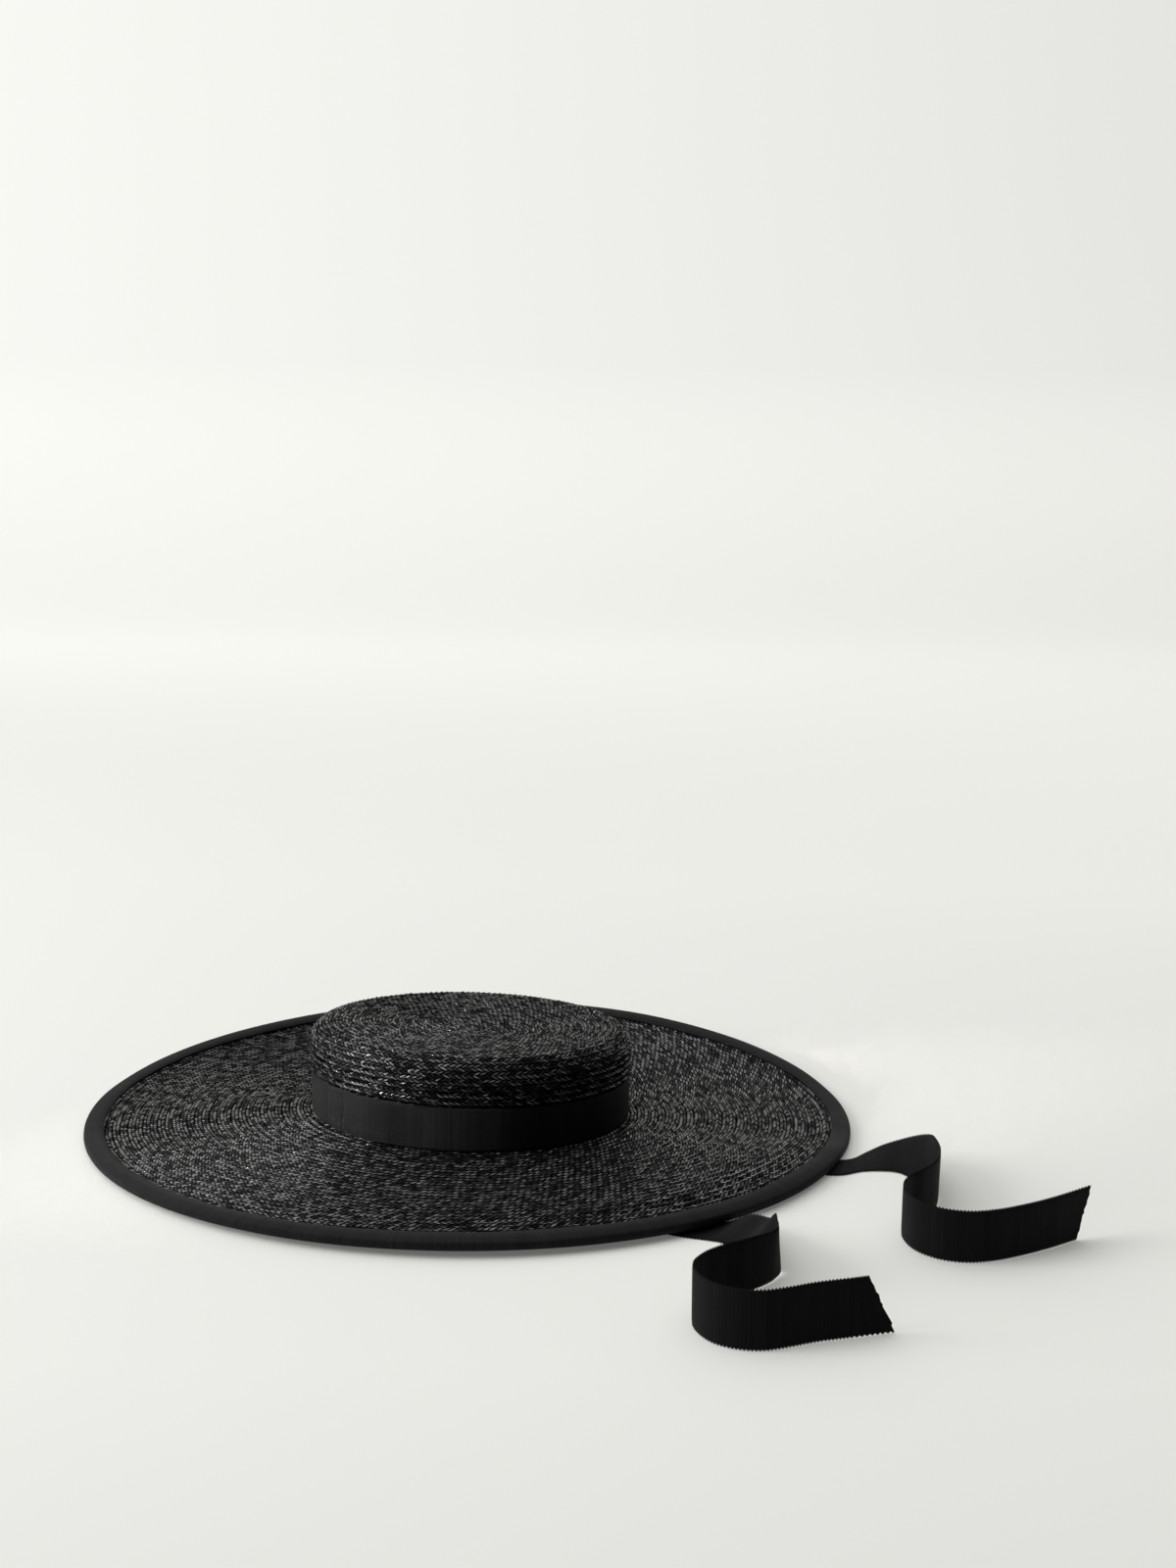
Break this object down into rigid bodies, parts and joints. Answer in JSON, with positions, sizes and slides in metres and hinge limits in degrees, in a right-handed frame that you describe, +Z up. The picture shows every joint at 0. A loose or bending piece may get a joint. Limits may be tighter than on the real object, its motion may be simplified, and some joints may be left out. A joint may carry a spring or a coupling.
{
  "type": "wide-brimmed straw boater hat with ribbon ties",
  "caption": "Wide-brimmed straw boater hat with a low flat-topped crown, a ribbon band, a bound brim edge and loose ribbon ties, lying on a table.",
  "frame": {"origin": "on the table under the middle of the hat, without its loose ties", "axes": "+Z up through the crown; +X along the front-to-back line of the head; the wearer's two sides are +Y and -Y"},
  "size_m": [0.5881, 0.5512, 0.0652],
  "materials": {
    "straw_braid": "plaited straw braid, dyed black, with a soft gloss",
    "grosgrain": "matt ribbed grosgrain ribbon"
  },
  "bodies": {
    "root": {"crown": "straw_braid", "brim": "straw_braid", "hat_band": "grosgrain", "brim_binding": "grosgrain", "tie_near": "grosgrain", "tie_far": "grosgrain"}
  },
  "joints": []
}
